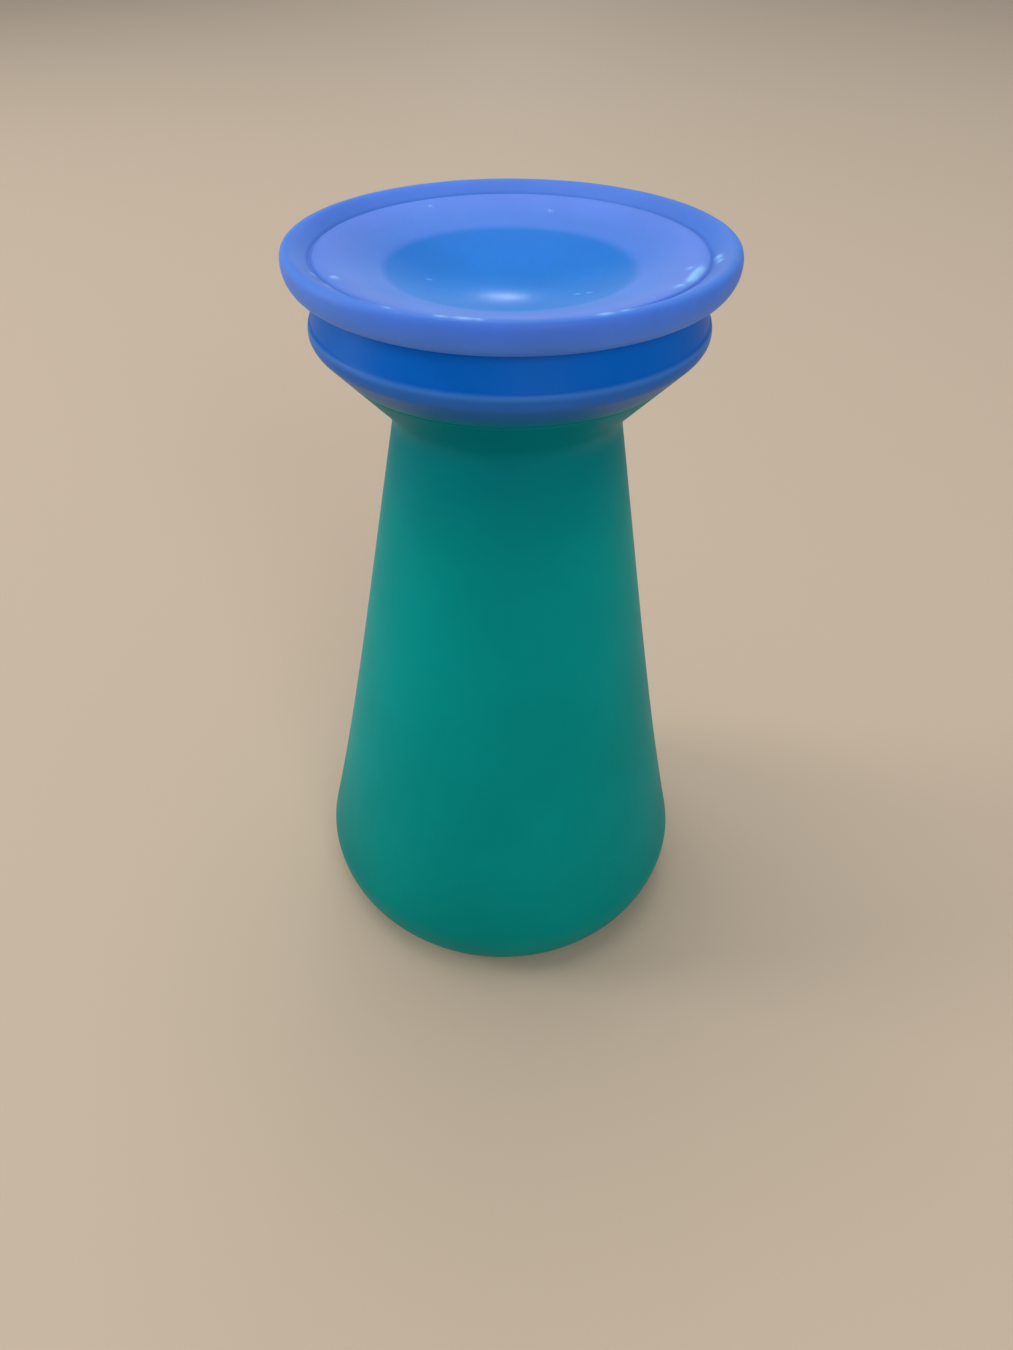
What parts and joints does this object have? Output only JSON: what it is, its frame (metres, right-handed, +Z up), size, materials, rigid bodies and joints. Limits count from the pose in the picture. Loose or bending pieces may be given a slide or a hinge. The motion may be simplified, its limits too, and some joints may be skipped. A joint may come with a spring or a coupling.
{
  "type": "sippy cup",
  "caption": "Waisted spoutless sippy cup with a wide foot, a screwed drinking-rim collar and a dished silicone disc valve that seals the rim all the way round.",
  "frame": {"origin": "middle of the foot, on the table", "axes": "+Z up along the cup's axis of turning; -Y is the side seen from the front"},
  "size_m": [0.0774, 0.0774, 0.1377],
  "materials": {
    "cup_plastic": "satin, slightly translucent moulded plastic",
    "collar_plastic": "satin, slightly translucent moulded plastic",
    "disc_silicone": "soft satin silicone, slightly translucent",
    "carrier_plastic": "satin moulded plastic",
    "seal_silicone": "soft translucent silicone"
  },
  "bodies": {
    "cup": {"cup_body": "cup_plastic"},
    "insert": {"seal_ring": "seal_silicone", "valve_carrier": "carrier_plastic"},
    "collar": {"lid_collar": "collar_plastic"},
    "valve": {"valve_disc": "disc_silicone"}
  },
  "joints": [
    {"name": "collar_rise", "type": "slide", "parent": "cup", "child": "insert", "axis": [0, 0, 1], "range_m": [0, 0.008]},
    {"name": "collar_turn", "type": "hinge", "parent": "insert", "child": "collar", "pos_m": [0, 0, 0.126], "axis": [0, 0, 1], "range_deg": [0, 360]},
    {"name": "valve_lift", "type": "slide", "parent": "insert", "child": "valve", "axis": [0, 0, 1], "range_m": [0, 0.025]}
  ],
  "couplings": [
    {"joint": "collar_rise", "follows": "collar_turn", "m_per_rad": 0.0012732}
  ]
}
